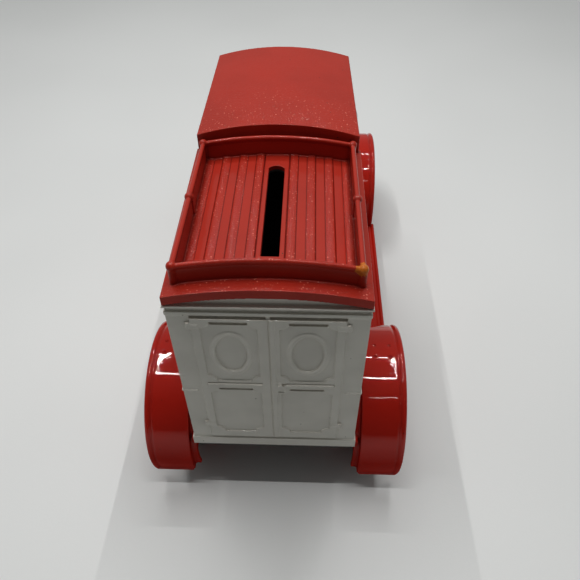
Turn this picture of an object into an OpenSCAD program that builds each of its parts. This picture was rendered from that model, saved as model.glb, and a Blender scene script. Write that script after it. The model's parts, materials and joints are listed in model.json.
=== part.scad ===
// A still bank in the form of an early delivery van: a painted body, roof and mudguard
// casting on a black base plate, two turning axles with spoked wheels, a lengthwise coin
// slot in the roof deck and a locking coin door underneath.
//
// Millimetres. The van's front faces -Y and its left side is +X. The tyres stand on
// Z = 0, and the origin is the middle of the footprint.

/* [Stance] */
// Distance between the front and rear axles
wheelbase = 120; // [119:0.5:121]
// Height of the axles above the ground
axle_z = 17.3; // [17.2:0.05:17.6]

/* [Body] */
// Width over the plain sides of the body
body_w = 47.2; // [46.8:0.1:47.2]
// Height of the body's lower edge
body_z = 27.2; // [27:0.1:27.6]
// Height of the top of the cornice
cornice_z = 88.3; // [87.8:0.1:88.5]
// Height of the belt bead round the body
belt_z = 54.8; // [54:0.2:55.4]
// Where the front wall of the cargo box stands
cargo_y = 24.5; // [24:0.5:25]
// Where the dash stands
dash_y = -17; // [-17.5:0.5:-16.5]
// Where the cowl ends and the bonnet starts
cowl_y = -29; // [-30:0.5:-28]
// Thickness of the body's walls
wall = 1.8; // [1.6:0.1:1.9]

/* [Rear doors] */
// Width over both doors
doors_w = 36.4; // [36:0.2:37]
// Height of the doors' lower edge
doors_low = 32; // [31.6:0.2:32.6]
// Height of the doors' upper edge
doors_high = 84.1; // [83.6:0.1:84.2]
// Width of each oval window
oval_w = 10.5; // [10:0.1:10.8]
// Height of each oval window
oval_h = 16.8; // [16:0.2:17.2]

/* [Roof] */
// Radius of the cargo roof's crown
crown_r = 100; // [96:1:104]
// Height of the ledge's crown, outside the rails
ledge_top = 94; // [93.8:0.1:94.2]
// Height of the planked deck's crown
deck_top = 92.3; // [92.2:0.1:92.6]
// Length of the coin slot
slot_l = 36.8; // [34:0.2:38]
// Width of the coin slot
slot_w = 4.3; // [4.3:0.1:4.8]
// Height of the rack's rails at the rear corners
rail_rear_z = 96.6; // [96.2:0.1:97]
// Height of the rack's rails at the front corners
rail_front_z = 95.2; // [95:0.1:95.8]
// Radius of the cab roof's crown
cab_crown_r = 76; // [74:1:78]
// Height of the cab roof's crown at its back edge
cab_top_back = 100.2; // [100:0.1:100.4]
// Height of the cab roof's crown at its front edge
cab_top_front = 102.6; // [102.4:0.1:102.8]

/* [Mudguards] */
// Width over the rear mudguards
guard_w = 78.8; // [78:0.2:80]
// Width over the front mudguards
front_guard_w = 76.6; // [76:0.2:77.6]
// Radius of the mudguards
guard_r = 24.6; // [24.4:0.1:24.6]
// Height of the running boards
board_z = 12.5; // [12:0.1:13]

/* [Wheels] */
// Radius of the rims
rim_r = 13.75; // [13.5:0.05:13.75]
// Number of spokes in each wheel
spokes = 12; // [10:1:14]
// Diameter of the axles
axle_d = 3; // [2.8:0.1:3]

/* [Coin door] */
// Width of the coin door's opening
hatch_w = 26; // [25.5:0.5:27]
// Length of the coin door's opening
hatch_l = 24.2; // [24.2:0.1:24.8]
// Where the coin door's hinge pin lies
hatch_y = 29; // [28.5:0.5:29]

/* [Hidden] */
$fn = 64;

// Colours
paint_white = [0.86, 0.85, 0.82];
paint_red = [0.62, 0.10, 0.08];
plated = [0.80, 0.80, 0.82];
black = [0.07, 0.07, 0.08];
steel = [0.60, 0.60, 0.62];
brass = [0.72, 0.58, 0.30];
clear_tint = [0.80, 0.88, 0.90, 0.4];
seat_brown = [0.25, 0.14, 0.09];

// Body
rear_y = 84;                     // face of the cornice and of the roof's fascia
proud = 0.4;                     // how far the mouldings stand out from the plain faces
body_hw = body_w / 2;
plain_y = rear_y - proud;        // plain rear face
inner_hw = body_hw - wall;
cornice_fillet = 0.65;           // height of the cornice's top edge
cornice_band = 1.2;              // height of its lowest band
hollow_h = 1.35;                 // height of the hollow between them
hollow_depth = 0.35;
hollow_z = cornice_z - cornice_fillet - hollow_h;
gable_back = 0.7;                // how far the gable lies behind the plain rear face
skirt_h = 3.8;                   // height of the moulding along the lower edge
bead_r = 0.35;
dash_top = 57.2;
fit_gap = 0.05;                  // between castings that are screwed together

// Doors
relief = 0.4;                    // how far the doors stand out
panel_x = [2.6, 16.1];           // each door's panels, from the middle of the van
panel_upper = [59.9, 83.15];
panel_lower = [34.8, 56.7];
notch_r = 2.3;
oval_x = 9.4;
oval_z = 71;
oval_ring = 1.4;                 // width of the raised ring round each window
oval_shoulder = 0.35;            // how far the ring's upper step lies inside its lower one
window_depth = 0.3;
mid_bead_z = 58.4;
door_shade_h = 1;                // height of the slots over the doors
panel_shade_h = 1.25;            // height of the slots at the tops of the panels
shade_depth = 0.45;
meeting_gap = 0.2;               // half the width of the groove between the doors
meeting_depth = 0.18;
latch_x = -2.6;
latch_y = plain_y + relief + 0.25;   // face of the latch plate

// Roof
roof_hw = 23.75;
slab_t = 2.6;
register_hw = inner_hw - 0.3;
rail_x = 21;
rail_y = [28.4, 54, 79.7];
rail_r = 0.7;
rack_wall = 1.1;
finial_r = 1.2;
post_r = 1;
deck_hw = rail_x - rack_wall / 2;
deck_front = rail_y[0] + rack_wall / 2;
deck_rear = rail_y[2] - rack_wall / 2;
rail_slope = atan((rail_rear_z - rail_front_z) / (rail_y[2] - rail_y[0]));
plank_w = 2.42;
plank_x0 = 3.5;                  // first plank joint from the middle
plank_rise = 0.25;
joint_w = 0.25;
joint_depth = 0.35;
slot_front = 34.4;
cab_back_y = 26.3;
cab_front_y = -18.4;
cab_back_hw = 23;
cab_front_hw = 21.4;
cab_roof_t = 1.6;
cab_slope = atan((cab_top_front - cab_top_back) / (cab_back_y - cab_front_y));

// Frame floor and base plate, stacked under the body
floor_t = 2.5;
floor_z = body_z - floor_t;
base_t = 1.8;
pad_h = 1.2;
base_z = floor_z - base_t;
side_x = 24.05;                  // inner face of the valances
valance_t = 1.15;
guard_t = 1.3;
guard_step_x = 26.5;
guard_step = 1.8;
guard_edge_r = 1;
guard_edge_proud = 0.25;         // how far the rolled edge stands above the mudguard
front_arc = [78.5, 275];         // degrees from straight down, turning towards the back
rear_arc = [71.3, 281.5];
board_y = 37.3;

// Screws
screw_r = 1;
screw_hole_r = 1.2;
pilot_r = 1.05;
screw_head_r = 2.1;
screw_head_h = 1.3;
base_screw_spots = [for (x = [-19.2, 19.2], y = [-10, 74]) [x, y]];
roof_screw_spots = [for (x = [-12, 12], y = [29.2, 78.4]) [x, y]];
roof_tab_z = [78, 80];

// Wheels
wheel_x = 31.2;
tyre_r = 3.2;
tyre_ring_r = axle_z - tyre_r;
hub_x = [28.2, 34.2];

// Front
rad_y = [-70.5, -66];
lamp_x = 24.2;
lamp_y = -74.6;
lamp_z = 45.2;
lamp_r = 7;
bar_y = -73;
bar_z = 37.3;
bar_leg_x = 12;
horn_y = -77;

// Coin door and lock
pin_z = base_z - 0.9;
pin_r = 0.8;
knuckle_r = 1.5;
knuckle_x = 8.9;
lock_y = hatch_y + 16.5;
barrel_r = 4;
plug_r = 2.5;
tang = 3;
cam_z = body_z + 0.2;
cam_t = 1.2;
cam_l = 9.6;

// Helpers

// A drawing of X against Z, carried along Y from y0 to y1
module along_y(y0, y1) translate([0, y1, 0]) rotate([90, 0, 0]) linear_extrude(y1 - y0) children();

// A drawing of Y against Z, carried along X from x0 to x1
module along_x(x0, x1) translate([x0, 0, 0]) rotate([90, 0, 90]) linear_extrude(x1 - x0) children();

module block(low, high) translate(low) cube(high - low);

module rod_x(x0, x1, y, z, r) translate([x0, y, z]) rotate([0, 90, 0]) cylinder(x1 - x0, r, r);

module rod_y(y0, y1, x, z, r) translate([x, y1, z]) rotate([90, 0, 0]) cylinder(y1 - y0, r, r);

module rod_z(z0, z1, x, y, r) translate([x, y, z0]) cylinder(z1 - z0, r, r);

module both_sides() {
    children();
    mirror([1, 0, 0]) children();
}

// How far a crown of radius r has dropped at x
function drop(x, r) = r - sqrt(r * r - x * x);

// X against Z: upright sides and a crowned top
module crown(half_w, low, top, r = crown_r) intersection() {
    translate([0, top - r]) circle(r, $fn = 360);
    translate([-half_w, low]) square([2 * half_w, top - low]);
}

// X against Z: upright sides and rounded shoulders
module rounded_top(half_w, low, top, r) {
    translate([-half_w, low]) square([2 * half_w, top - r - low]);
    translate([r - half_w, low]) square([2 * (half_w - r), top - low]);
    for (side = [-1, 1]) translate([side * (half_w - r), top - r]) circle(r);
}

module frame_2d(low, high, t) difference() {
    translate(low) square(high - low);
    translate(low + [t, t]) square(high - low - 2 * [t, t]);
}

// Body

module panel_2d(z) difference() {
    translate([panel_x[0], z[0]]) square([panel_x[1] - panel_x[0], z[1] - z[0]]);
    for (x = panel_x, corner_z = z) translate([x, corner_z]) circle(notch_r, $fn = 32);
}

module oval_2d(shrink) translate([oval_x, oval_z])
    polygon([for (a = [0 : 7.5 : 359]) [(oval_w / 2 - shrink) * cos(a), (oval_h / 2 - shrink) * sin(a)]]);

module rear_door_relief() {
    both_sides() {
        along_y(plain_y - 0.1, plain_y + relief) difference() {
            translate([meeting_gap, doors_low])
                square([doors_w / 2 - meeting_gap, doors_high - doors_low]);
            panel_2d(panel_upper);
            panel_2d(panel_lower);
        }
        along_y(plain_y - 0.1, plain_y + relief / 2) difference() {
            oval_2d(0);
            oval_2d(oval_ring);
        }
        along_y(plain_y - 0.1, plain_y + relief) difference() {
            oval_2d(oval_shoulder);
            oval_2d(oval_ring - oval_shoulder);
        }
        rod_x(panel_x[0] - 0.4, panel_x[1] + 0.4, plain_y + relief, mid_bead_z, 0.4);
        for (z = [38.8, 81.7]) {
            rod_z(z - 1.1, z + 1.1, doors_w / 2 + 0.6, plain_y + 0.2, 0.55);
            block([doors_w / 2 - 2, plain_y, z - 0.7], [doors_w / 2 + 0.6, plain_y + relief + 0.25, z + 0.7]);
        }
        rod_x(doors_w / 2 + 1.3, body_hw, plain_y, belt_z, bead_r);
    }
    block([-meeting_gap, plain_y, doors_low], [meeting_gap, plain_y + relief - meeting_depth, doors_high]);
    // Closing strip down the right door's edge, with its latch plate, knob and keyhole
    block([-1.35, plain_y, doors_low], [-meeting_gap, plain_y + relief + 0.15, doors_high]);
    difference() {
        block([latch_x - 1.3, plain_y, 54.9], [latch_x + 1.3, latch_y, 59.6]);
        block([latch_x - 0.8, latch_y - 0.5, 55.3], [latch_x + 0.8, latch_y + 1, 55.95]);
    }
    rod_y(plain_y, latch_y + 0.5, latch_x, 58.5, 0.8);
}

module cargo_walls() difference() {
    union() {
        along_y(cargo_y, plain_y) {
            translate([-body_hw, body_z]) square([body_w, cornice_z - body_z]);
            crown(body_hw, body_z, ledge_top - slab_t - 0.03);
        }
        block([-body_hw - proud, cargo_y, cornice_z - cornice_fillet], [body_hw + proud, rear_y, cornice_z]);
        block([-body_hw - proud / 2, cargo_y, hollow_z - cornice_band],
            [body_hw + proud / 2, plain_y + proud / 2, hollow_z]);
        block([-body_hw - proud, cargo_y, body_z], [body_hw + proud, rear_y, body_z + skirt_h]);
        both_sides() rod_y(cargo_y, plain_y, body_hw, belt_z, bead_r);
        rear_door_relief();
        // Framed fields on the sides
        both_sides() along_x(body_hw - 0.1, body_hw + 0.25) {
            frame_2d([cargo_y + 5, belt_z + 4], [plain_y - 5, cornice_z - 5.5], 0.7);
            frame_2d([cargo_y + 5, body_z + skirt_h + 2.5], [plain_y - 5, belt_z - 3], 0.7);
        }
    }
    block([-inner_hw, cargo_y + wall, body_z - 1], [inner_hw, plain_y - wall, ledge_top]);
    both_sides() {
        // Slots above the door and at the tops of its panels, and the sunk window
        block([0.5, plain_y - shade_depth, doors_high], [doors_w / 2, rear_y + 1, doors_high + door_shade_h]);
        for (top = [panel_upper[1], panel_lower[1]])
            block([panel_x[0] + notch_r, plain_y - shade_depth, top - panel_shade_h],
                [panel_x[1] - notch_r, plain_y + 0.1, top]);
        along_y(plain_y - window_depth, plain_y + 1) oval_2d(oval_ring);
        // Groove over the bead between the panels
        block([panel_x[0] - 0.4, plain_y + relief - 0.25, mid_bead_z + 0.4],
            [panel_x[1] + 0.4, plain_y + 1, mid_bead_z + 0.8]);
    }
    // The cornice's hollow, round the sides and the back
    difference() {
        block([-body_hw - 1, cargo_y - 1, hollow_z], [body_hw + 1, rear_y + 1, hollow_z + hollow_h]);
        block([hollow_depth - body_hw, cargo_y - 2, hollow_z - 1],
            [body_hw - hollow_depth, plain_y - hollow_depth, cornice_z]);
    }
    // The gable over the doors, set back under the edge of the roof
    block([-body_hw - 1, plain_y - gable_back, cornice_z], [body_hw + 1, rear_y + 1, ledge_top]);
}

module cab_tub() difference() {
    union() {
        block([-body_hw, dash_y, body_z], [body_hw, cargo_y + 1, belt_z]);
        block([-20.8, dash_y, body_z], [20.8, dash_y + wall, dash_top]);
        both_sides() {
            rod_y(dash_y, cargo_y + 1, body_hw - 0.3, belt_z, 0.6);
            along_x(body_hw - 0.1, body_hw + 0.25)
                frame_2d([dash_y + 6, body_z + 3], [cargo_y - 8, belt_z - 2.5], 0.6);
            rod_y(cargo_y - 12, cargo_y - 9.5, body_hw + 0.2, belt_z - 5, 0.4);
        }
        block([-body_hw - proud, dash_y, body_z], [body_hw + proud, cargo_y + 1, body_z + skirt_h * 0.6]);
    }
    block([-inner_hw, dash_y + wall, body_z - 1], [inner_hw, cargo_y, belt_z + 2]);
}

module cowl() difference() {
    along_y(cowl_y, dash_y + 0.1) rounded_top(18.5, body_z, dash_top, 10);
    along_y(cowl_y + 1.6, dash_y - 0.1) rounded_top(16.9, body_z - 1, dash_top - 1.6, 8.4);
}

module body_shell() color(paint_white) difference() {
    union() {
        cargo_walls();
        cab_tub();
        cowl();
        for (spot = base_screw_spots) rod_z(body_z, body_z + 16, spot[0], spot[1], 3);
        // Tabs for the roof screws, on the front and rear walls
        for (spot = roof_screw_spots) intersection() {
            block([spot[0] - 4, spot[1] - 6, roof_tab_z[0]], [spot[0] + 4, spot[1] + 6, roof_tab_z[1]]);
            union() {
                block([-20, cargo_y + 1, body_z], [20, roof_screw_spots[0][1] + 3, cornice_z]);
                block([-20, roof_screw_spots[1][1] - 3, body_z], [20, plain_y - 1, cornice_z]);
            }
        }
    }
    for (spot = base_screw_spots) rod_z(body_z - 1, body_z + 14, spot[0], spot[1], pilot_r);
    for (spot = roof_screw_spots) rod_z(roof_tab_z[0] - 1, roof_tab_z[1] + 1, spot[0], spot[1], screw_hole_r);
}

// Roof

// The deck's surface: every other plank is a low rounded batten between open joints
module deck_2d() difference() {
    union() {
        crown(deck_hw + 1, cornice_z, deck_top);
        for (side = [-1, 1], i = [0 : 2 : 6]) {
            x = plank_x0 + (i + 0.5) * plank_w;
            batten_r = (plank_w * plank_w / 4 + plank_rise * plank_rise) / (2 * plank_rise);
            translate([side * x, deck_top - drop(x, crown_r) + plank_rise - batten_r])
                intersection() {
                    circle(batten_r);
                    translate([-plank_w / 2, 0]) square([plank_w, batten_r]);
                }
        }
    }
    for (side = [-1, 1], i = [0 : 6]) {
        x = plank_x0 + i * plank_w;
        translate([side * x - joint_w / 2, deck_top - drop(x, crown_r) - joint_depth])
            square([joint_w, 2]);
    }
}

// A bead of radius r that follows the crown at height top, at one place along Y
module crown_bead(y, top, half_w, r) {
    half_angle = asin(half_w / crown_r);
    translate([0, y, top - crown_r]) rotate([90, 0, 0])
        rotate_extrude(angle = 2 * half_angle, start = 90 - half_angle, $fn = 720)
            translate([crown_r, 0]) circle(r, $fn = 24);
}

// Height of the side rails' middle line at y
function rail_z(y) = rail_front_z + (y - rail_y[0]) * tan(rail_slope);

module rack() {
    for (y = [rail_y[0], rail_y[2]]) {
        rail_top = rail_z(y) + drop(rail_x, crown_r);
        along_y(y - rack_wall / 2, y + rack_wall / 2) crown(rail_x, cornice_z + 3, rail_top);
        crown_bead(y, rail_top, rail_x, rail_r);
    }
    both_sides() {
        along_x(rail_x - rack_wall / 2, rail_x + rack_wall / 2) polygon([
            [rail_y[0], cornice_z + 2], [rail_y[2], cornice_z + 2],
            [rail_y[2], rail_rear_z], [rail_y[0], rail_front_z],
        ]);
        translate([rail_x, rail_y[0], rail_front_z]) rotate([rail_slope - 90, 0, 0])
            cylinder((rail_y[2] - rail_y[0]) / cos(rail_slope), rail_r, rail_r);
        for (y = rail_y) translate([rail_x, y, rail_z(y) + 0.15]) sphere(finial_r, $fn = 32);
        for (y = [rail_y[0], rail_y[2]]) rod_z(cornice_z + 2, rail_z(y), rail_x, y, post_r);
        rod_z(cornice_z + 2, rail_z(rail_y[1]), rail_x - 0.3, rail_y[1], 0.6);
    }
}

module cab_roof() {
    intersection() {
        linear_extrude(150) polygon([
            [-cab_back_hw, cab_back_y], [cab_back_hw, cab_back_y],
            [cab_front_hw, cab_front_y], [-cab_front_hw, cab_front_y],
        ]);
        translate([0, cab_back_y, cab_top_back - cab_crown_r]) rotate([-cab_slope, 0, 0])
            along_y(-60, 10) difference() {
                circle(cab_crown_r, $fn = 360);
                circle(cab_crown_r - cab_roof_t, $fn = 360);
                translate([-100, -200]) square([200, 200]);
            }
    }
    // Wall between the cab's roof and the cargo roof
    along_y(cargo_y, cab_back_y) difference() {
        crown(cab_back_hw, cornice_z, cab_top_back - 0.2, cab_crown_r);
        crown(roof_hw + 5, 0, ledge_top - slab_t);
    }
}

module roof_casting() color(paint_red) difference() {
    union() {
        difference() {
            union() {
                along_y(cargo_y, rear_y) difference() {
                    crown(roof_hw, cornice_z, ledge_top);
                    crown(roof_hw + 5, 0, ledge_top - slab_t);
                }
                along_y(cargo_y + wall + 0.3, plain_y - wall - 0.3) difference() {
                    crown(register_hw, cornice_z - 0.6, ledge_top - slab_t + 0.5);
                    crown(register_hw + 5, 0, deck_top - 2.1);
                }
            }
            along_y(deck_front, deck_rear) difference() {
                translate([-deck_hw, cornice_z]) square([2 * deck_hw, 10]);
                deck_2d();
            }
        }
        rack();
        cab_roof();
        for (spot = roof_screw_spots) rod_z(roof_tab_z[1] + fit_gap, deck_top - 1.6, spot[0], spot[1], 2.7);
    }
    intersection() {
        block([-slot_w / 2, slot_front - 1, cornice_z], [slot_w / 2, slot_front + slot_l, deck_top + 2]);
        union() {
            rod_z(cornice_z, deck_top + 2, 0, slot_front + 2.6, 2.6);
            block([-5, slot_front + 2.6, cornice_z], [5, slot_front + slot_l, deck_top + 2]);
        }
    }
    for (spot = roof_screw_spots) rod_z(roof_tab_z[1] - 1, roof_tab_z[1] + 8.5, spot[0], spot[1], pilot_r);
}

// Mudguards, running boards and frame floor

// X against the distance from the axle
module guard_2d(edge_x) {
    translate([guard_r - guard_t - guard_step, side_x]) square([guard_t, guard_step_x + 0.6 - side_x]);
    translate([guard_r - guard_t - guard_step, guard_step_x - 0.6]) square([guard_t + guard_step, 1.2]);
    difference() {
        translate([guard_r - guard_t, guard_step_x]) square([guard_t, edge_x - guard_edge_r - guard_step_x]);
        translate([guard_r, edge_x - 2 * guard_edge_r - 0.1]) circle(0.35, $fn = 24);
    }
    translate([guard_r + guard_edge_proud - guard_edge_r, edge_x - guard_edge_r]) circle(guard_edge_r, $fn = 24);
}

module guard(y, arc, edge_x) {
    translate([0, y, axle_z]) rotate([0, 90, 0])
        rotate_extrude(angle = arc[1] - arc[0], start = arc[0], $fn = 180) guard_2d(edge_x);
    // Inner wall between the wheel and the body
    along_x(side_x, side_x + valance_t) intersection() {
        translate([y, axle_z]) circle(guard_r - guard_step - 0.5, $fn = 180);
        translate([y - 30, floor_z - 4.7]) square([60, 40]);
    }
}

// Rolled edge across a mudguard's free end, at an angle from straight down
module guard_end(y, angle, edge_x) {
    end_r = guard_r - 0.3;
    rod_x(guard_step_x, edge_x - guard_edge_r, y + end_r * sin(angle), axle_z - end_r * cos(angle), 0.8);
}

module guard_dimples(y) {
    for (x = [30.3, 34.9], forward = [7.6, -3])
        translate([x, y, axle_z]) rotate([forward, 0, 0])
            translate([0, 0, guard_r - 0.45]) cylinder(1, 0.5, 0.7, $fn = 24);
}

module fender_casting() color(paint_red) difference() {
    union() {
        both_sides() {
            guard(wheelbase / 2, rear_arc, guard_w / 2);
            guard_end(wheelbase / 2, rear_arc[0], guard_w / 2);
            guard(-wheelbase / 2, front_arc, front_guard_w / 2);
            guard_end(-wheelbase / 2, front_arc[1], front_guard_w / 2);
            // Running board, its rolled edge and its valance
            block([side_x, -board_y, board_z - 1.2], [guard_w / 2 - 0.7, board_y, board_z]);
            rod_y(-board_y, board_y, guard_w / 2 - 0.75, board_z - 0.2, 0.75);
            rod_y(-board_y, board_y, guard_w / 2 - 2.3, board_z, 0.3);
            block([side_x, -board_y, board_z - 1.2], [side_x + valance_t, board_y, body_z]);
        }
        block([-side_x - valance_t, 4 - wheelbase / 2, floor_z], [side_x + valance_t, rear_y - 1.5, body_z]);
        // Front cross member and the two frame horns
        block([-15, bar_y + 0.8, floor_z], [15, 5 - wheelbase / 2, body_z]);
        both_sides() {
            block([bar_leg_x - 1.8, horn_y, floor_z], [bar_leg_x + 1.8, bar_y + 1, body_z]);
            rod_x(bar_leg_x - 1.8, bar_leg_x + 1.8, horn_y, floor_z + floor_t / 2, floor_t / 2);
        }
    }
    both_sides() guard_dimples(wheelbase / 2);
    block([-hatch_w / 2, hatch_y + 0.3, floor_z - 1], [hatch_w / 2, hatch_y + 0.3 + hatch_l, body_z + 1]);
    for (spot = base_screw_spots) rod_z(floor_z - 1, body_z + 1, spot[0], spot[1], screw_hole_r);
}

// Bonnet, radiator and lamps

module hood_solid(inset) hull() {
    along_y(cowl_y - 1 - inset, cowl_y - fit_gap + inset * 2)
        rounded_top(17.5 - inset, body_z + fit_gap - inset * 2, dash_top - 1.2 - inset, 10 - inset, $fn = 32);
    along_y(rad_y[1] + fit_gap - inset * 2, rad_y[1] + 1 + inset)
        rounded_top(12.5 - inset, body_z + fit_gap - inset * 2, 53.5 - inset, 7.5 - inset, $fn = 32);
}

module hood() color(paint_white) {
    difference() {
        hood_solid(0);
        hood_solid(1.3);
    }
    // Louvres down both sides
    both_sides() for (i = [0 : 5]) {
        y = -38 - i * 3.6;
        side = 17.5 + (y - cowl_y) * 5 / (cowl_y - rad_y[1]);
        block([side - 0.9, y - 0.6, 35], [side + 0.35, y + 0.6, 45]);
    }
}

module radiator_shell() color(plated) difference() {
    union() {
        along_y(rad_y[0], rad_y[1] - fit_gap) rounded_top(13.6, body_z + fit_gap, 55, 8.4);
        along_y(rad_y[0] - 0.4, rad_y[0] + 1) difference() {
            rounded_top(12.4, 29.6, 50.2, 7);
            rounded_top(11.3, 30.7, 49.1, 6);
        }
    }
    along_y(rad_y[0] - 1, rad_y[1] - 1.4) rounded_top(11.3, 30.7, 49.1, 6);
}

module radiator_core() color(black) difference() {
    along_y(rad_y[0] + 0.5, rad_y[1] - 1.45) rounded_top(11.25, 30.75, 49.05, 5.95);
    for (i = [-10 : 10]) block([i * 1.05 - 0.25, rad_y[0], 32], [i * 1.05 + 0.25, rad_y[0] + 1.6, 47.6 - abs(i) * 0.2]);
}

module radiator_cap() color(plated) translate([0, (rad_y[0] + rad_y[1]) / 2, 55 + fit_gap]) rotate_extrude() {
    square([2, 1.6]);
    translate([0, 1.6]) square([2.7, 1.3]);
    translate([0, 2.9]) square([1.2, 0.9]);
}

module lamp_shell(x) color(plated) translate([x, lamp_y, lamp_z]) rotate([90, 0, 0]) difference() {
    union() {
        sphere(lamp_r, $fn = 96);
        cylinder(1.8, lamp_r + 0.2, lamp_r + 0.2);
    }
    sphere(lamp_r - 0.8, $fn = 96);
    cylinder(lamp_r + 1, lamp_r - 0.8, lamp_r - 0.8);
    translate([0, 0, 1.8]) cylinder(lamp_r, lamp_r + 1, lamp_r + 1);
}

module lamp_lens(x) color(clear_tint) translate([x, lamp_y, lamp_z]) rotate([90, 0, 0]) intersection() {
    translate([0, 0, 0.5]) cylinder(2.2, lamp_r - 0.85, lamp_r - 0.85);
    translate([0, 0, 2.2 - 18]) sphere(18, $fn = 96);
}

module headlight_bar() color(plated) {
    rod_x(-lamp_x, lamp_x, bar_y, bar_z, 0.9);
    both_sides() {
        translate([lamp_x, bar_y, bar_z]) sphere(0.9, $fn = 32);
        rod_z(bar_z, lamp_z - lamp_r - 0.03, lamp_x, bar_y, 0.9);
        rod_z(body_z + 0.02, bar_z, bar_leg_x, bar_y, 0.8);
        rod_z(body_z + 0.02, body_z + 0.8, bar_leg_x, bar_y, 1.6);
    }
}

// Windshield, seat and steering

module windshield_2d(inset, low, high) intersection() {
    crown(19.6 - inset, low, 100.7 - inset, cab_crown_r - cab_roof_t);
    translate([-30, low]) square([60, high - low]);
}

module windshield_frame() color(plated) along_y(dash_y, dash_y + 1.4) difference() {
    windshield_2d(0, dash_top + 0.02, 110);
    windshield_2d(1.4, dash_top + 1.4, 77);
    windshield_2d(1.4, 78.3, 110);
}

module windshield_glass() color(clear_tint) along_y(dash_y + 0.3, dash_y + 1.1) {
    windshield_2d(1.43, dash_top + 1.43, 76.97);
    windshield_2d(1.43, 78.33, 110);
}

module seat_bench() color(seat_brown) {
    block([-19.5, 7.5, body_z + 0.02], [19.5, cargo_y - fit_gap, 41]);
    block([-20.5, 7.5, 40], [20.5, cargo_y - fit_gap, 45.5]);
    rod_x(-20.5, 20.5, 7.5, 42.75, 2.75);
    block([-20.5, 21, 45], [20.5, cargo_y - fit_gap, 62.5]);
    rod_x(-20.5, 20.5, 22.7, 62.5, 1.7);
    // Pleats
    for (i = [-4 : 4]) {
        rod_y(7, 21, i * 4.5, 44.3, 1.9);
        rod_z(46, 62.5, i * 4.5, 22.2, 1.9);
    }
}

module on_column() translate([9.5, dash_y + wall + 0.75, 46]) rotate([-50, 0, 0]) children();

module steering_column() color(black) on_column() {
    cylinder(19, 0.7, 0.7);
    translate([0, 0, 0.4]) cylinder(1.6, 0.9, 0.9);
}

module steering_wheel() color(black) on_column() translate([0, 0, 19 + 0.02]) {
    cylinder(1.3, 1.4, 1.4);
    translate([0, 0, 1.3]) cylinder(0.5, 0.8, 0.8);
    translate([0, 0, 0.7]) {
        rotate_extrude() translate([6.9, 0]) circle(0.6, $fn = 24);
        for (a = [45 : 90 : 359]) rotate([0, 90, a]) cylinder(6.9, 0.42, 0.42);
    }
}

// Base plate and fasteners

module base_plate() color(black) difference() {
    union() {
        block([-23.6, -64, base_z], [23.6, rear_y - 2, floor_z - 0.02]);
        // Axle bearings
        for (x = [-17, 17], y = [-wheelbase / 2, wheelbase / 2])
            block([x - 3, y - 3.8, axle_z - 3.6], [x + 3, y + 3.8, base_z + 0.1]);
        // Lugs for the hinge pin
        both_sides() {
            rod_x(knuckle_x + 0.4, knuckle_x + 3, hatch_y, pin_z, knuckle_r);
            block([knuckle_x + 0.4, hatch_y - knuckle_r, pin_z], [knuckle_x + 3, hatch_y + 0.3, base_z + 0.1]);
        }
        // Raised pad that a display stand can carry, between two low ribs
        block([-9, -42, base_z - pad_h], [9, 18, base_z + 0.1]);
        both_sides() block([13.4, 8 - wheelbase / 2, base_z - 0.8], [14.4, hatch_y - 6, base_z + 0.1]);
    }
    block([-hatch_w / 2, hatch_y + 0.3, base_z - 1], [hatch_w / 2, hatch_y + 0.3 + hatch_l, floor_z + 1]);
    block([-knuckle_x - 0.3, hatch_y - 1.9, base_z - 1], [knuckle_x + 0.3, hatch_y + 1, floor_z + 1]);
    for (y = [-wheelbase / 2, wheelbase / 2]) rod_x(-30, 30, y, axle_z, axle_d / 2 + 0.1);
    both_sides() rod_x(knuckle_x, knuckle_x + 2.4, hatch_y, pin_z, pin_r + 0.03);
    for (spot = base_screw_spots) rod_z(base_z - 1, floor_z + 1, spot[0], spot[1], screw_hole_r);
}

// A cross-recess screw that points up, with the underside of its head at z
module screw(x, y, z, l) difference() {
    union() {
        rod_z(z - screw_head_h, z, x, y, screw_head_r);
        rod_z(z - 0.1, z + l, x, y, screw_r);
    }
    block([x - 1.2, y - 0.2, z - screw_head_h - 1], [x + 1.2, y + 0.2, z - screw_head_h + 0.6]);
    block([x - 0.2, y - 1.2, z - screw_head_h - 1], [x + 0.2, y + 1.2, z - screw_head_h + 0.6]);
}

module base_screws() color(steel) for (spot = base_screw_spots) screw(spot[0], spot[1], base_z - 0.01, 15);

module roof_screws() color(steel) for (spot = roof_screw_spots) screw(spot[0], spot[1], roof_tab_z[0] - 0.01, 9);

// Axles and wheels

module axle(y) color(steel) rod_x(-34.9, 34.9, y, axle_z, axle_d / 2);

// Places a shape drawn about +X on one wheel: side is 1 on the left, -1 on the right
module at_wheel(side, y) translate([0, y, axle_z]) mirror([side > 0 ? 0 : 1, 0, 0]) rotate([0, 90, 0]) children();

module wheel(side, y) color(paint_red) at_wheel(side, y) difference() {
    union() {
        translate([0, 0, hub_x[0]]) cylinder(hub_x[1] - hub_x[0], 3.2, 3.2);
        translate([0, 0, wheel_x - 1.2]) cylinder(2.4, 4.8, 4.8);
        translate([0, 0, wheel_x - 2.6]) difference() {
            cylinder(5.2, rim_r, rim_r, $fn = 128);
            translate([0, 0, -1]) cylinder(8, rim_r - 1.4, rim_r - 1.4, $fn = 128);
        }
        for (i = [0 : spokes - 1]) translate([0, 0, wheel_x]) rotate([0, 90, i * 360 / spokes])
            translate([0, 0, 2.5]) cylinder(rim_r - 3.3, 1.05, 0.75, $fn = 24);
    }
    translate([0, 0, hub_x[0] - 1]) cylinder(hub_x[1] - hub_x[0] + 2, axle_d / 2 + 0.02, axle_d / 2 + 0.02);
}

module tyre(side, y) color(black) at_wheel(side, y) translate([0, 0, wheel_x])
    rotate_extrude($fn = 180) difference() {
        translate([tyre_ring_r, 0]) circle(tyre_r, $fn = 48);
        translate([0, -5]) square([rim_r + 0.03, 10]);
    }

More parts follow.
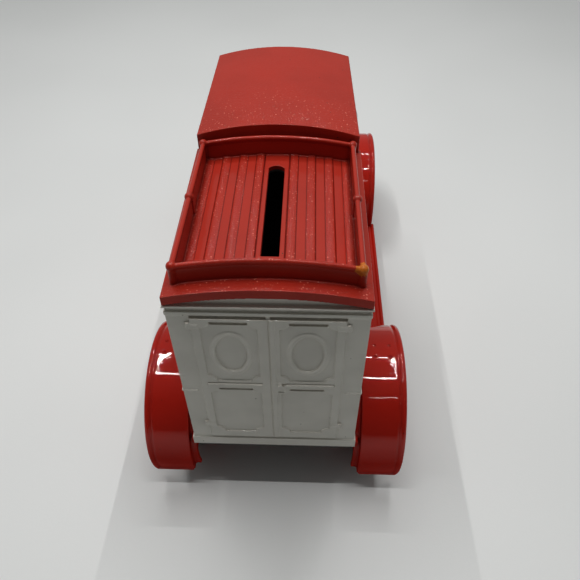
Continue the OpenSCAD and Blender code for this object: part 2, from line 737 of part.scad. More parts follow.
module hub_cap(side, y) color(plated) at_wheel(side, y) translate([0, 0, hub_x[1] + 0.02]) difference() {
    intersection() {
        cylinder(2.6, 3.4, 3.4);
        translate([0, 0, 2.4 - 4.4]) sphere(4.4);
    }
    translate([0, 0, -1]) cylinder(1.9, axle_d / 2 + 0.05, axle_d / 2 + 0.05);
}

// Coin door and lock

module coin_door() color(black) difference() {
    union() {
        block([-hatch_w / 2 + 0.3, hatch_y + 0.6, base_z], [hatch_w / 2 - 0.3, hatch_y + hatch_l, floor_z - 0.02]);
        rod_x(-knuckle_x, knuckle_x, hatch_y, pin_z, knuckle_r);
        block([-knuckle_x, hatch_y, pin_z], [knuckle_x, hatch_y + 1.6, base_z + 0.4]);
    }
    // Corners cut away so that the leaf clears the hinge lugs as it swings
    both_sides() block([knuckle_x + 0.1, hatch_y, base_z - 1], [hatch_w / 2, hatch_y + knuckle_r + 0.4, floor_z + 1]);
    rod_x(-knuckle_x - 1, knuckle_x + 1, hatch_y, pin_z, pin_r + 0.05);
    rod_z(base_z - 1, floor_z + 1, 0, lock_y, barrel_r + 0.03);
}

module coin_door_pin() color(steel) rod_x(-knuckle_x - 2.3, knuckle_x + 2.3, hatch_y, pin_z, pin_r);

module lock_body() color(plated) difference() {
    union() {
        rod_z(base_z - 1, base_z - 0.01, 0, lock_y, 5.5);
        rod_z(base_z - 0.1, body_z, 0, lock_y, barrel_r);
    }
    rod_z(base_z - 2, body_z + 1, 0, lock_y, plug_r + 0.06);
}

module lock_nut() color(steel) translate([0, lock_y, floor_z]) difference() {
    cylinder(1.8, 5.8, 5.8, $fn = 6);
    translate([0, 0, -1]) cylinder(4, barrel_r + 0.03, barrel_r + 0.03);
}

module lock_plug() color(brass) difference() {
    union() {
        rod_z(base_z - 1, body_z + 0.18, 0, lock_y, plug_r);
        block([-tang / 2, lock_y - tang / 2, body_z], [tang / 2, lock_y + tang / 2, cam_z + cam_t + 0.3]);
    }
    block([-0.45, lock_y - 1.7, base_z - 2], [0.45, lock_y + 1.7, base_z + 1.6]);
}

module lock_cam() color(steel) translate([0, lock_y, cam_z]) difference() {
    union() {
        cylinder(cam_t, 3.4, 3.4);
        translate([0, -2.2, 0]) cube([cam_l - 2.2, 4.4, cam_t]);
        translate([cam_l - 2.2, 0, 0]) cylinder(cam_t, 2.2, 2.2);
    }
    translate([-tang / 2 - 0.02, -tang / 2 - 0.02, -1]) cube([tang + 0.04, tang + 0.04, cam_t + 2]);
}

body_shell();
roof_casting();
fender_casting();
hood();
radiator_shell();
radiator_core();
radiator_cap();
lamp_shell(lamp_x);  // headlight_shell_left
lamp_shell(-lamp_x);  // headlight_shell_right
lamp_lens(lamp_x);  // headlight_lens_left
lamp_lens(-lamp_x);  // headlight_lens_right
headlight_bar();
windshield_frame();
windshield_glass();
seat_bench();
steering_column();
steering_wheel();
base_plate();
base_screws();
roof_screws();
axle(-wheelbase / 2);  // front_axle
axle(wheelbase / 2);  // rear_axle
wheel(1, -wheelbase / 2);  // wheel_front_left
wheel(-1, -wheelbase / 2);  // wheel_front_right
wheel(1, wheelbase / 2);  // wheel_rear_left
wheel(-1, wheelbase / 2);  // wheel_rear_right
tyre(1, -wheelbase / 2);  // tyre_front_left
tyre(-1, -wheelbase / 2);  // tyre_front_right
tyre(1, wheelbase / 2);  // tyre_rear_left
tyre(-1, wheelbase / 2);  // tyre_rear_right
hub_cap(1, -wheelbase / 2);  // hub_cap_front_left
hub_cap(-1, -wheelbase / 2);  // hub_cap_front_right
hub_cap(1, wheelbase / 2);  // hub_cap_rear_left
hub_cap(-1, wheelbase / 2);  // hub_cap_rear_right
coin_door();
coin_door_pin();
lock_body();
lock_nut();
lock_plug();
lock_cam();
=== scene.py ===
"""Looks for the delivery van still bank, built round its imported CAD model.

Every casting, trim piece, wheel and screw starts from its CAD solid, gets the soft edges that
casting, plating and paint leave, and a procedural material. Metres; the front faces -Y.
"""

import json
import math

import bpy
import numpy
from mathutils import Euler, Matrix, Vector

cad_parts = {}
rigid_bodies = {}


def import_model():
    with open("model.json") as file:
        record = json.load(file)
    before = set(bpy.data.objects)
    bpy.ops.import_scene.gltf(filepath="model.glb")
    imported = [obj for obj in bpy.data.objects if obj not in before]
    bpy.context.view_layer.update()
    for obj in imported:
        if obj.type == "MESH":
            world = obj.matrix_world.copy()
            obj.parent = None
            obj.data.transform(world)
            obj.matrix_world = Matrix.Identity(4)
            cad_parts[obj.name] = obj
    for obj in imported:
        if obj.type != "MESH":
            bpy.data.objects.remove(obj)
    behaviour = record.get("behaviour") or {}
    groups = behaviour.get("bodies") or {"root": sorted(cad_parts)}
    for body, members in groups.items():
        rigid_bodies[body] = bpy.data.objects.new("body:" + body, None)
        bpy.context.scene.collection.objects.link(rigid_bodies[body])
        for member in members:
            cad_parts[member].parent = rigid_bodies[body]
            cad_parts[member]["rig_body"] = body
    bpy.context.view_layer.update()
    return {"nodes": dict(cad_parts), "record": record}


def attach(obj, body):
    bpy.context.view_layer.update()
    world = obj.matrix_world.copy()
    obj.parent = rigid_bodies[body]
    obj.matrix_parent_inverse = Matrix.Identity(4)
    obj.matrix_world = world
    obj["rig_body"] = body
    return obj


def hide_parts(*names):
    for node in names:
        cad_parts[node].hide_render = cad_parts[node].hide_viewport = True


MM = 0.001
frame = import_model()
SLOT_OF = {part["node"]: part["material_slot"] for part in frame["record"]["subparts"]}


# --- Camera: held above and behind the van, a little to its right ---

CAMERA_AT = (-8.4, 169.7, 184.0)
CAMERA_DOWN = 46.25
CAMERA_TURN = 2.17
CAMERA_ROLL = -0.54
LENS = 35.8
SENSOR = 36

camera_data = bpy.data.cameras.new("camera")
camera_data.lens = LENS
camera_data.sensor_width = SENSOR
camera_data.clip_start = 5 * MM
camera_data.clip_end = 20
camera = bpy.data.objects.new("camera", camera_data)
bpy.context.scene.collection.objects.link(camera)
aim = Euler((math.radians(90 - CAMERA_DOWN), 0, math.radians(180 + CAMERA_TURN))).to_matrix()
roll = Matrix.Rotation(math.radians(CAMERA_ROLL), 3, "Z")
camera.matrix_world = Matrix.Translation(Vector(CAMERA_AT) * MM) @ (aim @ roll).to_4x4()
bpy.context.scene.camera = camera
bpy.context.scene.view_settings.view_transform = "Standard"
bpy.context.scene.view_settings.look = "Medium High Contrast"


# --- Shader node helpers ---


def feed(tree, node, inputs):
    """Links a node's inputs to sockets, or sets them to plain values."""
    for key, value in inputs.items():
        if isinstance(value, bpy.types.NodeSocket):
            tree.links.new(value, node.inputs[key])
        else:
            node.inputs[key].default_value = value


def add(tree, kind, inputs=None, out=0, **settings):
    """Adds a shader node, sets it up, feeds its inputs, and returns one output."""
    made = tree.nodes.new("ShaderNode" + kind)
    for name, value in settings.items():
        setattr(made, name, value)
    feed(tree, made, inputs or {})
    return made.outputs[out]


def calc(tree, operation, a, b=0.0):
    """One sum on two values, each a socket or a number."""
    return add(tree, "Math", {0: a, 1: b}, operation=operation)


def ramp(tree, value, low, high, to_low=0.0, to_high=1.0):
    """value from low to high, turned smoothly into to_low to to_high."""
    return add(
        tree,
        "MapRange",
        {"Value": value, "From Min": low, "From Max": high, "To Min": to_low, "To Max": to_high},
        interpolation_type="SMOOTHSTEP",
    )


def tint(tree, amount, a, b):
    """Colour a turned into colour b by amount."""
    return add(tree, "Mix", {0: amount, 6: a, 7: b}, out=2, data_type="RGBA")


def noise(tree, place, size, detail):
    """Noise from 0 to 1 whose features are about size millimetres wide."""
    return add(tree, "TexNoise", {"Vector": place, "Scale": 1 / (size * MM), "Detail": detail})


def axes(tree, place):
    """x, y and z of place in millimetres."""
    split = tree.nodes.new("ShaderNodeSeparateXYZ")
    scaled = add(tree, "VectorMath", {0: place, "Scale": 1 / MM}, operation="SCALE")
    tree.links.new(scaled, split.inputs[0])
    return split.outputs[0], split.outputs[1], split.outputs[2]


def between(tree, value, low, high):
    """1 where value lies from low to high."""
    above = calc(tree, "GREATER_THAN", value, low)
    below = calc(tree, "LESS_THAN", value, high)
    return calc(tree, "MULTIPLY", above, below)


def rgb(*values):
    """An opaque colour."""
    return (*values, 1.0)


def material(name):
    """A material with one Principled shader: (material, tree, shader, object coordinates)."""
    made = bpy.data.materials.new(name)
    made.use_nodes = True
    tree = made.node_tree
    tree.nodes.clear()
    shader = tree.nodes.new("ShaderNodeBsdfPrincipled")
    output = tree.nodes.new("ShaderNodeOutputMaterial")
    tree.links.new(shader.outputs[0], output.inputs[0])
    return made, tree, shader, add(tree, "TexCoord", out=3)


def hollows(tree, reach):
    """1 deep in creases and corners, 0 on open faces. reach is in millimetres."""
    inputs = {"Distance": reach * MM}
    open_sky = add(tree, "AmbientOcclusion", inputs, out=1, samples=6, only_local=True)
    return ramp(tree, open_sky, 0.95, 0.45)


def upward(tree, direction):
    """The z component of a direction."""
    return add(tree, "SeparateXYZ", {0: direction}, out=2)


def edges(tree, radius):
    """Two masks: every edge, and the edges that face down. radius is in millimetres."""
    rounded = add(tree, "Bevel", {"Radius": radius * MM}, samples=4)
    true = add(tree, "NewGeometry", out=1)
    match = add(tree, "VectorMath", {0: rounded, 1: true}, out=1, operation="DOT_PRODUCT")
    lean = calc(tree, "SUBTRACT", upward(tree, rounded), upward(tree, true))
    return ramp(tree, match, 0.99, 0.85), ramp(tree, lean, -0.08, -0.4)


def specks(tree, place, cell, radius):
    """1 in scattered dots of up to radius, about cell millimetres apart."""
    distance = add(tree, "TexVoronoi", {"Vector": place, "Scale": 1 / (cell * MM)})
    return calc(tree, "LESS_THAN", distance, radius / cell)


def relief(tree, layers):
    """Normal for (height from 0 to 1, depth in millimetres) layers laid over each other."""
    normal = None
    for height, depth in layers:
        inputs = {"Height": height, "Distance": depth * MM, "Strength": 1.0}
        if normal:
            inputs["Normal"] = normal
        normal = add(tree, "Bump", inputs)
    return normal


# --- Materials ---

# Near-black for the unpainted inside: bare casting, and painted shade where no light reaches
BARE_CASTING_AND_SHADE = rgb(0.05, 0.048, 0.045)
BARE_ROUGHNESS = 0.7
SKIN_DEPTH = 0.17
UPRIGHT_COAT = 0.12
# Dark specks in the paint, and painted glints on its rough skin, pale colour that stands in for
# highlights: colour, spacing and radius in mm
SPECK = rgb(0.03, 0.025, 0.02)
SPECK_SPACING = 4.2
SPECK_RADIUS = 0.16
PAINTED_GLINT = rgb(0.85, 0.3, 0.22)
GLINT_SPACING = 0.95
GLINT_RADIUS = 0.2


def enamel(name, colour, edge_thin_and_highlight, painted_shade, finish, grain, waves=(0.03, 0.003), inside=None, extra=None):
    """Sprayed enamel on a casting.

    The second colour is for edges, lighter as paint worn thin and as a painted highlight along
    them; the third is painted shade, laid into creases and under edges that face down. finish is
    the roughness and specular level of the paint, then the weight and roughness of the coat on it.
    grain(tree, place) gives the share of rough casting skin that shows through, which also gets
    painted glints that stand in for highlights, and inside(tree, place) where no paint reached,
    painted near-black as bare casting and as the shade in there. waves are the depths of the
    paint's slow and quick ripples, in millimetres. The coat is thinner on upright faces.
    """
    gloss, level, coat, coat_gloss = finish
    made, tree, shader, place = material(name)
    patches = noise(tree, place, 14, 3)
    fine = noise(tree, place, 1.1, 3)
    base = tint(tree, ramp(tree, patches, 0.3, 0.7), colour, rgb(*(0.9 * c for c in colour[:3])))
    every_edge, underside_shade = edges(tree, 0.3)
    # Edges turn lighter, as paint worn thin and as a painted highlight along them
    worn_and_highlit = calc(tree, "MULTIPLY", every_edge, ramp(tree, fine, 0.35, 0.75, 0.1, 0.55))
    base = tint(tree, worn_and_highlit, base, edge_thin_and_highlight)
    # Painted shade: creases and the undersides of edges that face down are darkened
    base = tint(tree, calc(tree, "MULTIPLY", hollows(tree, 1.4), 0.7), base, painted_shade)
    base = tint(tree, calc(tree, "MULTIPLY", underside_shade, 0.75), base, painted_shade)
    base = tint(tree, specks(tree, place, SPECK_SPACING, SPECK_RADIUS), base, SPECK)
    share = grain(tree, place)
    # Painted glints: pale dots on the rough skin stand in for highlights
    dots = specks(tree, place, GLINT_SPACING, GLINT_RADIUS)
    painted_glints = calc(tree, "MULTIPLY", dots, ramp(tree, share, 0.3, 0.9))
    clusters = ramp(tree, noise(tree, place, 1.6, 2), 0.4, 0.65, 0.05, 0.6)
    base = tint(tree, calc(tree, "MULTIPLY", painted_glints, clusters), base, PAINTED_GLINT)
    if extra:
        base = extra(tree, place, base)
    rough = ramp(tree, patches, 0.25, 0.75, gloss * 0.85, gloss * 1.2)
    # The unpainted inside is painted near-black, as bare casting and as the shade in there
    if inside:
        bare_and_shaded = inside(tree, place)
        base = tint(tree, bare_and_shaded, base, BARE_CASTING_AND_SHADE)
        rough = calc(tree, "MAXIMUM", rough, calc(tree, "MULTIPLY", bare_and_shaded, BARE_ROUGHNESS))
    skin = calc(tree, "MULTIPLY", noise(tree, place, 0.5, 3), share)
    slow, quick = waves
    slow_ripple = noise(tree, place, 3.2, 1)
    quick_ripple = noise(tree, place, 0.7, 1)
    surface = relief(tree, [(slow_ripple, slow), (quick_ripple, quick), (skin, SKIN_DEPTH)])
    facing_up = upward(tree, add(tree, "TexCoord", out=1))
    inputs = {
        "Base Color": base,
        "Normal": surface,
        "Roughness": rough,
        "IOR": 1.5,
        "Specular IOR Level": level,
        "Coat Normal": surface,
        "Coat Weight": ramp(tree, facing_up, 0.0, 0.5, coat * UPRIGHT_COAT, coat),
        "Coat Roughness": coat_gloss,
    }
    feed(tree, shader, inputs)
    return made


# Places and widths in millimetres; pairs are a range from front to rear
CARGO_FRONT = 24.5
CARGO_REAR = 83.6
WALL_HALF = 0.9
WALL_MIDDLE = 22.7
DECK_HALF_WIDTH = 20.4
DECK = (29.2, 78.9)
CAB_BACK = 26.2
CAB_ROUGHENS = (0, 22)
CROWN_RADIUS = 100
SLAB_MIDDLE = 91.15
SLAB_BARE_AND_SHADED = (26.5, 82.5)
PLANK_WIDTH = 2.42
PLANK_START = 3.5
PLANK_JOINT = rgb(0.07, 0.004, 0.003)
FINIAL = (-21, 79.7, 96.8)
PRIMER = rgb(0.55, 0.19, 0.02)
PRIMER_REACH = 3.1
PRIMER_RAGGED = 2.4


def on_deck(tree, x, y):
    """1 over the planked deck inside the rack."""
    along = between(tree, y, *DECK)
    return calc(tree, "MULTIPLY", along, between(tree, x, -DECK_HALF_WIDTH, DECK_HALF_WIDTH))


def plank_pair(tree, x):
    """Runs from 0 to 1 over each batten and the plank outside it, and whether x is among them."""
    across = calc(tree, "ABSOLUTE", x)
    pair = calc(tree, "DIVIDE", calc(tree, "SUBTRACT", across, PLANK_START), 2 * PLANK_WIDTH)
    return calc(tree, "FRACT", pair), calc(tree, "GREATER_THAN", across, PLANK_START)


def roof_grain(tree, place):
    """Rough on the cab's top, the battens and the ledge behind the rack, smooth elsewhere."""
    x, y, _ = axes(tree, place)
    pair, planked = plank_pair(tree, x)
    batten = calc(tree, "MULTIPLY", calc(tree, "LESS_THAN", pair, 0.5), planked)
    deck = on_deck(tree, x, y)
    planks = calc(tree, "MULTIPLY", deck, ramp(tree, batten, 0, 1, 0.06, 1.0))
    top = ramp(tree, upward(tree, add(tree, "NewGeometry", out=1)), 0.7, 0.95)
    on_cab = calc(tree, "LESS_THAN", y, CAB_BACK)
    cab = calc(tree, "MULTIPLY", on_cab, ramp(tree, y, *CAB_ROUGHENS, 0.3, 0.9))
    rough_top = calc(tree, "MAXIMUM", cab, calc(tree, "GREATER_THAN", y, DECK[1]))
    elsewhere = calc(tree, "MAXIMUM", calc(tree, "MULTIPLY", rough_top, top), 0.1)
    off_deck = calc(tree, "MULTIPLY", elsewhere, calc(tree, "SUBTRACT", 1.0, deck))
    return calc(tree, "MAXIMUM", planks, off_deck)


def roof_inside(tree, place):
    """The underside of the cargo roof, which the spray never reached, painted near-black also as
    the shade under the roof.
    """
    x, y, z = axes(tree, place)
    drop = calc(tree, "DIVIDE", calc(tree, "MULTIPLY", x, x), 2 * CROWN_RADIUS)
    below = calc(tree, "LESS_THAN", calc(tree, "ADD", z, drop), SLAB_MIDDLE)
    return calc(tree, "MULTIPLY", below, between(tree, y, *SLAB_BARE_AND_SHADED))


def body_inside(tree, place):
    """The inside of the cargo box, which the spray never reached, painted near-black also as the
    shade in the box.
    """
    x, y, _ = axes(tree, place)
    across = between(tree, x, -WALL_MIDDLE, WALL_MIDDLE)
    along = between(tree, y, CARGO_FRONT + WALL_HALF, CARGO_REAR - WALL_HALF)
    return calc(tree, "MULTIPLY", across, along)


def roof_marks(tree, place, base):
    """Dark plank joints, and orange primer where one corner of the rack has rubbed through."""
    x, y, _ = axes(tree, place)
    pair, planked = plank_pair(tree, x)
    from_batten = calc(tree, "ABSOLUTE", calc(tree, "SUBTRACT", pair, 0.5))
    outer_joint = calc(tree, "MULTIPLY", ramp(tree, from_batten, 0.045, 0.015), 0.55)
    inner_joint = calc(tree, "MULTIPLY", ramp(tree, from_batten, 0.46, 0.49), 0.6)
    joint = calc(tree, "MULTIPLY", calc(tree, "MAXIMUM", outer_joint, inner_joint), planked)
    joint = calc(tree, "MULTIPLY", joint, on_deck(tree, x, y))
    base = tint(tree, joint, base, PLANK_JOINT)
    points = {0: place, 1: [c * MM for c in FINIAL]}
    away = add(tree, "VectorMath", points, out=1, operation="DISTANCE")
    ragged = calc(tree, "MULTIPLY", noise(tree, place, 1.3, 3), PRIMER_RAGGED * MM)
    near = calc(tree, "LESS_THAN", calc(tree, "ADD", away, ragged), PRIMER_REACH * MM)
    return tint(tree, calc(tree, "MULTIPLY", near, 0.75), base, PRIMER)


def even(share):
    """A grain that is the same all over."""
    return lambda tree, place: share


def plating():
    """Bright plating with a faint cloud, painted shade in its creases and dark pits."""
    made, tree, shader, place = material("bright_plating")
    cloud = noise(tree, place, 6, 3)
    fine = noise(tree, place, 0.6, 2)
    base = tint(tree, ramp(tree, cloud, 0.3, 0.75), rgb(0.78, 0.78, 0.79), rgb(0.66, 0.65, 0.63))
    # Painted shade: creases are darkened where shade falls
    base = tint(tree, calc(tree, "MULTIPLY", hollows(tree, 1.2), 0.7), base, rgb(0.13, 0.11, 0.09))
    base = tint(tree, specks(tree, place, 1.6, 0.11), base, rgb(0.12, 0.1, 0.08))
    rough = ramp(tree, cloud, 0.3, 0.8, 0.1, 0.24)
    normal = relief(tree, [(cloud, 0.03), (fine, 0.006)])
    inputs = {"Base Color": base, "Roughness": rough, "Normal": normal, "Metallic": 1.0}
    feed(tree, shader, inputs)
    return made


def metal(name, colour, dark, stretch, rough):
    """Turned or drawn metal. stretch draws the fine lines out along x, y or z."""
    made, tree, shader, place = material(name)
    drawn = add(tree, "Mapping", {"Vector": place, "Scale": stretch})
    lines = noise(tree, drawn, 0.18, 3)
    cloud = noise(tree, place, 3, 3)
    base = tint(tree, ramp(tree, cloud, 0.35, 0.75), colour, dark)
    # Painted shade: creases are darkened where shade falls
    base = tint(tree, calc(tree, "MULTIPLY", hollows(tree, 0.8), 0.8), base, rgb(0.05, 0.045, 0.04))
    streaks = ramp(tree, lines, 0.3, 0.7, rough * 0.8, rough * 1.3)
    normal = relief(tree, [(lines, 0.008)])
    inputs = {"Base Color": base, "Roughness": streaks, "Normal": normal, "Metallic": 1.0}
    feed(tree, shader, inputs)
    return made


def moulded(name, colour, worn_to, rough, grain_size, grain_depth):
    """Moulded plastic with a fine leathery grain, paler where it is handled."""
    made, tree, shader, place = material(name)
    patches = noise(tree, place, 11, 3)
    cells = {"Vector": place, "Scale": 1 / (grain_size * MM)}
    pebble = add(tree, "TexVoronoi", cells, feature="SMOOTH_F1")
    every_edge, _ = edges(tree, 0.3)
    rub = calc(tree, "MULTIPLY", every_edge, ramp(tree, noise(tree, place, 1.5, 3), 0.4, 0.7))
    base = tint(tree, ramp(tree, patches, 0.3, 0.7), colour, rgb(*(0.75 * c for c in colour[:3])))
    base = tint(tree, calc(tree, "MULTIPLY", rub, 0.5), base, worn_to)
    uneven = ramp(tree, patches, 0.25, 0.8, rough * 0.85, rough * 1.2)
    normal = relief(tree, [(pebble, grain_depth), (noise(tree, place, 4, 2), 0.03)])
    feed(tree, shader, {"Base Color": base, "Roughness": uneven, "Normal": normal})
    return made


def rubber():
    """Black rubber with pale dust on it."""
    made, tree, shader, place = material("tyre_rubber")
    patches = noise(tree, place, 7, 4)
    fine = noise(tree, place, 0.45, 3)
    film = ramp(tree, patches, 0.45, 0.8)
    dust = calc(tree, "MULTIPLY", film, ramp(tree, fine, 0.3, 0.7, 0.1, 0.5))
    base = tint(tree, dust, rgb(0.018, 0.018, 0.018), rgb(0.09, 0.085, 0.078))
    rough = ramp(tree, fine, 0.2, 0.8, 0.5, 0.8)
    normal = relief(tree, [(patches, 0.04), (fine, 0.02)])
    feed(tree, shader, {"Base Color": base, "Roughness": rough, "Normal": normal})
    return made


def clear():
    """Clear plastic with light scuffs up and down it."""
    made, tree, shader, place = material("clear_plastic")
    scuffs = add(tree, "Mapping", {"Vector": place, "Scale": (1, 1, 0.12)})
    lines = noise(tree, scuffs, 0.5, 3)
    inputs = {
        "Base Color": rgb(0.93, 0.97, 0.97),
        "Roughness": ramp(tree, lines, 0.55, 0.8, 0.02, 0.16),
        "Normal": relief(tree, [(noise(tree, place, 6, 1), 0.02)]),
        "Transmission Weight": 1.0,
        "IOR": 1.49,
    }
    feed(tree, shader, inputs)
    return made


def paper():
    """Pale paper under the van, a little cloudy."""
    made, tree, shader, place = material("pale_paper")
    fibre = noise(tree, place, 0.8, 3)
    wash = noise(tree, place, 160, 2)
    base = tint(tree, ramp(tree, wash, 0.3, 0.7), rgb(0.74, 0.745, 0.735), rgb(0.71, 0.715, 0.705))
    normal = relief(tree, [(fibre, 0.02)])
    feed(tree, shader, {"Base Color": base, "Roughness": 0.6, "Normal": normal})
    return made


WHITE_LOOK = {
    "colour": rgb(0.66, 0.64, 0.585),
    "edge_thin_and_highlight": rgb(0.82, 0.8, 0.75),
    "painted_shade": rgb(0.42, 0.37, 0.31),
    "finish": (0.36, 0.3, 0.35, 0.07),
    "grain": even(0.1),
}
WHITE = enamel("white_enamel", inside=body_inside, **WHITE_LOOK)
HOOD_WHITE = enamel("hood_white_enamel", **WHITE_LOOK)
ROOF_RED = enamel(
    "roof_red_enamel",
    colour=rgb(0.4, 0.03, 0.015),
    edge_thin_and_highlight=rgb(0.56, 0.1, 0.07),
    painted_shade=rgb(0.1, 0.004, 0.003),
    finish=(0.42, 0.2, 0.6, 0.09),
    grain=roof_grain,
    inside=roof_inside,
    extra=roof_marks,
)
GLOSS_RED = enamel(
    "gloss_red_enamel",
    colour=rgb(0.43, 0.02, 0.01),
    edge_thin_and_highlight=rgb(0.5, 0.05, 0.035),
    painted_shade=rgb(0.1, 0.004, 0.003),
    finish=(0.35, 0.0, 1.0, 0.025),
    grain=even(0.02),
    waves=(0.008, 0.005),
)
BLACK = rgb(0.02, 0.02, 0.021)
BLACK_WORN = rgb(0.09, 0.09, 0.09)
BROWN = rgb(0.14, 0.055, 0.03)
BROWN_WORN = rgb(0.3, 0.16, 0.1)
MATERIALS = {
    "white_paint": WHITE,
    "roof_red_paint": ROOF_RED,
    "gloss_red_paint": GLOSS_RED,
    "plated_trim": plating(),
    "black_plastic": moulded("black_plastic", BLACK, BLACK_WORN, 0.48, 0.5, 0.02),
    "seat_plastic": moulded("seat_plastic", BROWN, BROWN_WORN, 0.45, 0.9, 0.06),
    "clear_plastic": clear(),
    "tyre_rubber": rubber(),
    "steel": metal("steel", rgb(0.55, 0.55, 0.56), rgb(0.38, 0.37, 0.36), (0.15, 1, 1), 0.3),
    "brass": metal("brass", rgb(0.66, 0.47, 0.2), rgb(0.4, 0.27, 0.1), (1, 1, 0.2), 0.28),
}


# --- Pieces ---

# Node: grain of the new surface in millimetres, rounding steps, share of the faces kept
FINISH = {
    "body_shell": (0.15, 2, 0.2),
    "roof_casting": (0.14, 2, 0.3),
    "fender_casting": (0.26, 4, 1.0),
    "hood": (0.2, 5, 0.4),
    "radiator_shell": (0.14, 4, 0.4),
    "radiator_core": (0.14, 1, 0.5),
    "radiator_cap": (0.08, 3, 0.5),
    "headlight_shell": (0.12, 3, 0.4),
    "headlight_bar": (0.12, 3, 0.4),
    "windshield_frame": (0.12, 3, 0.4),
    "seat_bench": (0.22, 8, 0.5),
    "steering_column": (0.1, 2, 0.5),
    "steering_wheel": (0.08, 3, 0.5),
    "base_plate": (0.22, 3, 0.3),
    "base_screws": (0.09, 2, 0.5),
    "roof_screws": (0.09, 2, 0.5),
    "front_axle": (0.12, 3, 0.3),
    "rear_axle": (0.12, 3, 0.3),
    "wheel": (0.15, 4, 0.4),
    "tyre": (0.2, 3, 0.5),
    "hub_cap": (0.09, 3, 0.4),
    "coin_door": (0.14, 3, 0.4),
    "coin_door_pin": (0.09, 2, 0.5),
    "lock_body": (0.09, 2, 0.5),
    "lock_nut": (0.09, 2, 0.5),
    "lock_plug": (0.08, 2, 0.5),
    "lock_cam": (0.09, 2, 0.5),
}
QUICK_GRAIN = 1.0


def recipe(node):
    """The entry of FINISH whose name starts the node's name, the longest first."""
    names = [name for name in FINISH if node.startswith(name)]
    return FINISH[max(names, key=len)] if names else None


# The mudguards' round: each axle's y, and the inner and outer x of the face inside the rolled edge
GUARD_CASTING = "fender_casting"
GUARDS = ((-60, 27.4, 35.6), (60, 27.4, 36.7))
GUARD_RADIUS = 24.6
AXLE_Z = 17.3
TRUE_WITHIN = 0.08


def true_guards(mesh):
    """Brings the mudguards' outer faces exactly onto their round, so that they reflect cleanly."""
    points = numpy.empty(3 * len(mesh.vertices), dtype=numpy.float32)
    mesh.vertices.foreach_get("co", points)
    points = points.reshape(-1, 3)
    across = numpy.abs(points[:, 0]) / MM
    for axle_y, inner, outer in GUARDS:
        centre = numpy.array((axle_y * MM, AXLE_Z * MM), dtype=numpy.float32)
        arm = points[:, 1:] - centre
        radius = numpy.linalg.norm(arm, axis=1) / MM
        on_face = (across > inner) & (across < outer)
        near = on_face & (numpy.abs(radius - GUARD_RADIUS) < TRUE_WITHIN)
        points[near, 1:] = centre + arm[near] * (GUARD_RADIUS / radius[near])[:, None]
    mesh.vertices.foreach_set("co", points.ravel())
    mesh.update()


def soften(node, grain, steps, kept):
    """A copy of a CAD node with the rounded edges of a casting, as a piece that stands for it."""
    source = frame["nodes"][node]
    piece = bpy.data.objects.new(node + "_finished", source.data.copy())
    bpy.context.scene.collection.objects.link(piece)
    skin = piece.modifiers.new("skin", "REMESH")
    skin.mode = "VOXEL"
    skin.voxel_size = grain * QUICK_GRAIN * MM
    rounding = piece.modifiers.new("rounding", "SMOOTH")
    rounding.iterations = steps
    fewer = piece.modifiers.new("fewer", "DECIMATE")
    fewer.ratio = kept
    if node != GUARD_CASTING:
        facing = piece.modifiers.new("facing", "WEIGHTED_NORMAL")
        facing.keep_sharp = False
    bpy.context.view_layer.update()
    graph = bpy.context.evaluated_depsgraph_get()
    made = bpy.data.meshes.new_from_object(piece.evaluated_get(graph))
    piece.modifiers.clear()
    piece.data = made
    made.name = node + "_finished"
    if node == GUARD_CASTING:
        true_guards(made)
    made.shade_smooth()
    made.materials.clear()
    made.materials.append(MATERIALS[SLOT_OF[node]])
    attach(piece, source["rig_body"])
    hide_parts(node)
    return piece


pieces = {}
for node, source in frame["nodes"].items():
    if recipe(node):
        pieces[node] = soften(node, *recipe(node))
    else:
        source.data.materials.clear()
        source.data.materials.append(MATERIALS[SLOT_OF[node]])

hood = pieces["hood"]
hood.data.materials.clear()
hood.data.materials.append(HOOD_WHITE)


# --- Floor, light and surroundings ---

FLOOR_HALF = 1.6
floor_mesh = bpy.data.meshes.new("floor")
floor_mesh.from_pydata(
    [(x * FLOOR_HALF, y * FLOOR_HALF, 0) for x, y in ((-1, -1), (1, -1), (1, 1), (-1, 1))],
    [],
    [(0, 1, 2, 3)],
)
floor_mesh.materials.append(paper())
floor = bpy.data.objects.new("floor", floor_mesh)
bpy.context.scene.collection.objects.link(floor)


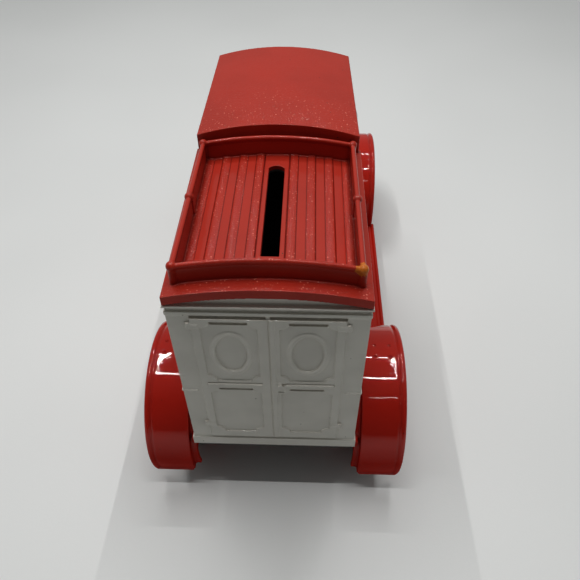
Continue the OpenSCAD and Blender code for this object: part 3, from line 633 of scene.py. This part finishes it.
def area_light(name, at, towards, size, power):
    """A rectangular white light of size metres that faces a point; positions in millimetres."""
    data = bpy.data.lights.new(name, "AREA")
    data.shape = "RECTANGLE"
    data.size, data.size_y = size
    data.energy = power
    lamp = bpy.data.objects.new(name, data)
    bpy.context.scene.collection.objects.link(lamp)
    at, towards = Vector(at) * MM, Vector(towards) * MM
    lamp.location = at
    lamp.rotation_euler = (towards - at).to_track_quat("-Z", "Y").to_euler()


# A ring of bright bars under the ceiling, and a short one nearer the camera
RING_AT = (24, -60, 560)
RING_HALF = (150, 170)
CROSS_BAR_WIDTH = 0.006
SIDE_BAR_WIDTH = 0.003
BAR_POWER = 1.8
NEAR_BAR_AT = (-113, 375, 500)
NEAR_BAR_TOWARDS = (0, 60, 30)
NEAR_BAR_SIZE = (0.045, 0.006)
NEAR_BAR_POWER = 0.015
for side in (-1, 1):
    along_x = (RING_AT[0], RING_AT[1] + side * RING_HALF[1], RING_AT[2])
    along_y = (RING_AT[0] + side * RING_HALF[0], RING_AT[1], RING_AT[2])
    length_x, length_y = (2 * half * MM for half in RING_HALF)
    down_x, down_y = (along_x[0], along_x[1], 0), (along_y[0], along_y[1], 0)
    area_light(f"ring_x_{side}", along_x, down_x, (length_x, CROSS_BAR_WIDTH), BAR_POWER * length_x)
    area_light(f"ring_y_{side}", along_y, down_y, (SIDE_BAR_WIDTH, length_y), BAR_POWER * length_y)
area_light("near_bar", NEAR_BAR_AT, NEAR_BAR_TOWARDS, NEAR_BAR_SIZE, NEAR_BAR_POWER)

# The room is bright overhead and beyond the van's front, and dim behind the camera
ROOM_DIM = 0.06
ROOM_BRIGHT = 0.27
ROOM_TONE = rgb(0.97, 1.0, 0.99)
world = bpy.data.worlds.new("room")
bpy.context.scene.world = world
world.use_nodes = True
sky = world.node_tree
sky.nodes.clear()
direction = add(sky, "TexCoord", out=0)
split = sky.nodes.new("ShaderNodeSeparateXYZ")
sky.links.new(direction, split.inputs[0])
ahead = calc(sky, "SUBTRACT", calc(sky, "MULTIPLY", split.outputs[2], 0.5), split.outputs[1])
shade = ramp(sky, ahead, -0.5, 0.7, ROOM_DIM, ROOM_BRIGHT)
background = add(sky, "Background", {0: ROOM_TONE, 1: shade})
world_output = sky.nodes.new("ShaderNodeOutputWorld")
sky.links.new(background, world_output.inputs[0])
